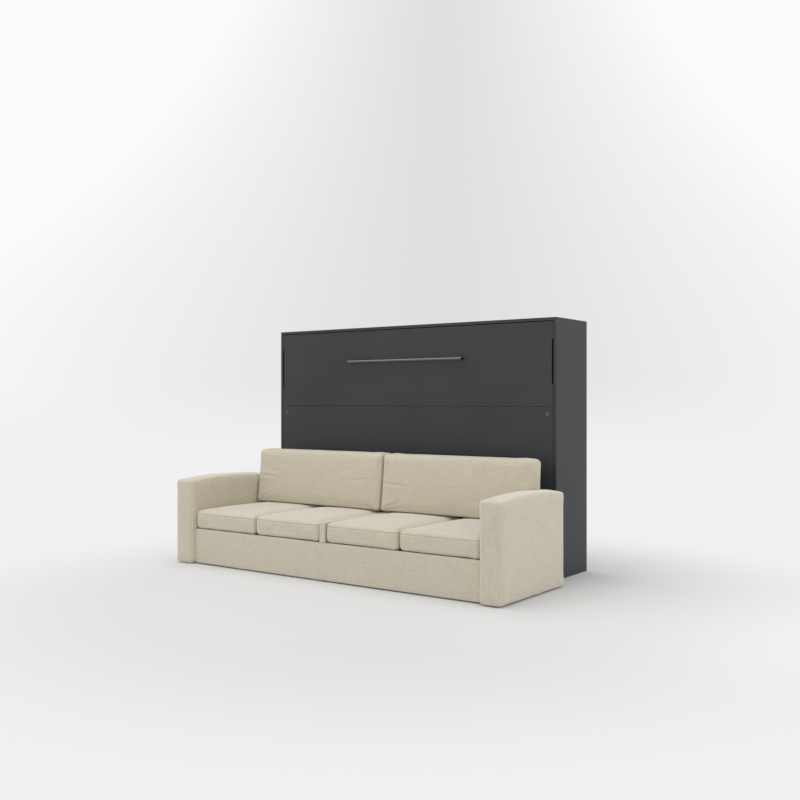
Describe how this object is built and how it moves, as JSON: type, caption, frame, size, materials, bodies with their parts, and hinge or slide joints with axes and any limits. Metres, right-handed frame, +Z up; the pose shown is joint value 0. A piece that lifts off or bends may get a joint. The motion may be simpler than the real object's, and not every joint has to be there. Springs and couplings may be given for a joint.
{
  "type": "sofa wall bed",
  "caption": "Horizontal fold-down wall bed in a dark cabinet with an upholstered sofa built in front; the bed panel swings down over the seat on side hinges.",
  "frame": {"origin": "on the floor in the middle of the whole unit's footprint", "axes": "+X along the bed to the viewer's right, +Y towards the wall, +Z up"},
  "size_m": [2.42, 1.269, 1.535],
  "materials": {
    "melamine": "matt melamine",
    "handle_metal": "brushed",
    "zinc_fittings": "zinc plated",
    "bolt_caps": "satin",
    "frame_paint": "powder coat",
    "black_plastic": "matt",
    "rod_chrome": "polished",
    "stop_rubber": "matt",
    "beech": "natural",
    "raw_board": "raw",
    "mattress_fabric": "knitted",
    "strap_webbing": "woven",
    "linen": "woven"
  },
  "bodies": {
    "cabinet_and_sofa": {"side_panel_left": "melamine", "side_panel_right": "melamine", "top_panel": "melamine", "plinth_rail": "melamine", "wall_rail_upper": "melamine", "wall_rail_lower": "melamine", "closing_stops": "stop_rubber", "hinge_plate_left": "zinc_fittings", "hinge_plate_right": "zinc_fittings", "hinge_screws": "zinc_fittings", "spring_mount_left": "zinc_fittings", "spring_mount_right": "zinc_fittings", "arm_cover_left": "linen", "arm_cover_right": "linen", "arm_frame_left": "raw_board", "arm_frame_right": "raw_board", "arm_bolts": "zinc_fittings", "sofa_front_rail": "linen", "sofa_rear_board": "raw_board", "sofa_end_board_left": "raw_board", "sofa_end_board_right": "raw_board", "sofa_centre_board": "raw_board", "seat_deck": "raw_board", "centre_divider": "linen", "sofa_glides": "black_plastic", "joining_brackets": "zinc_fittings", "seat_cushion_far_left": "linen", "seat_cushion_left": "linen", "seat_cushion_right": "linen", "seat_cushion_far_right": "linen"},
    "bed": {"front_panel": "melamine", "pull_handle": "handle_metal", "handle_screws": "zinc_fittings", "panel_bolts": "bolt_caps", "panel_nuts": "zinc_fittings", "end_rail_left": "frame_paint", "end_rail_right": "frame_paint", "rail_bottom": "frame_paint", "rail_top": "frame_paint", "centre_rail": "frame_paint", "slats": "beech", "slat_holders": "black_plastic", "mattress": "mattress_fabric", "mattress_straps": "strap_webbing", "hinge_bushes": "black_plastic", "leg_brackets": "zinc_fittings", "spring_studs": "zinc_fittings"},
    "leg_left": {"leg_sleeve_left": "frame_paint"},
    "leg_right": {"leg_sleeve_right": "frame_paint"},
    "foot_left": {"leg_foot_left": "black_plastic"},
    "foot_right": {"leg_foot_right": "black_plastic"},
    "gas_cylinder_left": {"gas_cylinder_left": "frame_paint"},
    "gas_cylinder_right": {"gas_cylinder_right": "frame_paint"},
    "gas_rod_left": {"gas_rod_left": "rod_chrome"},
    "gas_rod_right": {"gas_rod_right": "rod_chrome"},
    "back_cushion_left": {"back_cushion_left": "linen"},
    "back_cushion_right": {"back_cushion_right": "linen"}
  },
  "joints": [
    {"name": "bed_fold", "type": "hinge", "parent": "cabinet_and_sofa", "child": "bed", "pos_m": [0, 0.2585, 0.41], "axis": [1, 0, 0], "range_deg": [0, 90]},
    {"name": "leg_swing_left", "type": "hinge", "parent": "bed", "child": "leg_left", "pos_m": [-1.059, 0.2585, 1.392], "axis": [-1, 0, 0], "range_deg": [0, 90]},
    {"name": "foot_slide_left", "type": "slide", "parent": "leg_left", "child": "foot_left", "axis": [0, 0, -1], "range_m": [0, 0.172]},
    {"name": "spring_swing_left", "type": "hinge", "parent": "cabinet_and_sofa", "child": "gas_cylinder_left", "pos_m": [-1.0545, 0.3685, 0.62], "axis": [1, 0, 0], "range_deg": [0, 23.38]},
    {"name": "spring_stroke_left", "type": "slide", "parent": "gas_cylinder_left", "child": "gas_rod_left", "axis": [0, 0.3078, 0.9514], "range_m": [0, 0.1465]},
    {"name": "cushion_lift_off_left", "type": "slide", "parent": "cabinet_and_sofa", "child": "back_cushion_left", "axis": [0, -0.9877, 0.1564], "range_m": [0, 1.3]},
    {"name": "leg_swing_right", "type": "hinge", "parent": "bed", "child": "leg_right", "pos_m": [1.059, 0.2585, 1.392], "axis": [-1, 0, 0], "range_deg": [0, 90]},
    {"name": "foot_slide_right", "type": "slide", "parent": "leg_right", "child": "foot_right", "axis": [0, 0, -1], "range_m": [0, 0.172]},
    {"name": "spring_swing_right", "type": "hinge", "parent": "cabinet_and_sofa", "child": "gas_cylinder_right", "pos_m": [1.0545, 0.3685, 0.62], "axis": [1, 0, 0], "range_deg": [0, 23.38]},
    {"name": "spring_stroke_right", "type": "slide", "parent": "gas_cylinder_right", "child": "gas_rod_right", "axis": [0, 0.3078, 0.9514], "range_m": [0, 0.1465]},
    {"name": "cushion_lift_off_right", "type": "slide", "parent": "cabinet_and_sofa", "child": "back_cushion_right", "axis": [0, -0.9877, 0.1564], "range_m": [0, 1.3]}
  ],
  "couplings": [
    {"joint": "leg_swing_left", "follows": "bed_fold", "ratio": 1},
    {"joint": "spring_swing_left", "follows": "bed_fold", "ratio": 0.25965},
    {"joint": "spring_stroke_left", "follows": "bed_fold", "m_per_rad": 0.093202},
    {"joint": "cushion_lift_off_left", "follows": "bed_fold", "m_per_rad": 0.82761},
    {"joint": "leg_swing_right", "follows": "bed_fold", "ratio": 1},
    {"joint": "spring_swing_right", "follows": "bed_fold", "ratio": 0.25965},
    {"joint": "spring_stroke_right", "follows": "bed_fold", "m_per_rad": 0.093202},
    {"joint": "cushion_lift_off_right", "follows": "bed_fold", "m_per_rad": 0.82761}
  ]
}
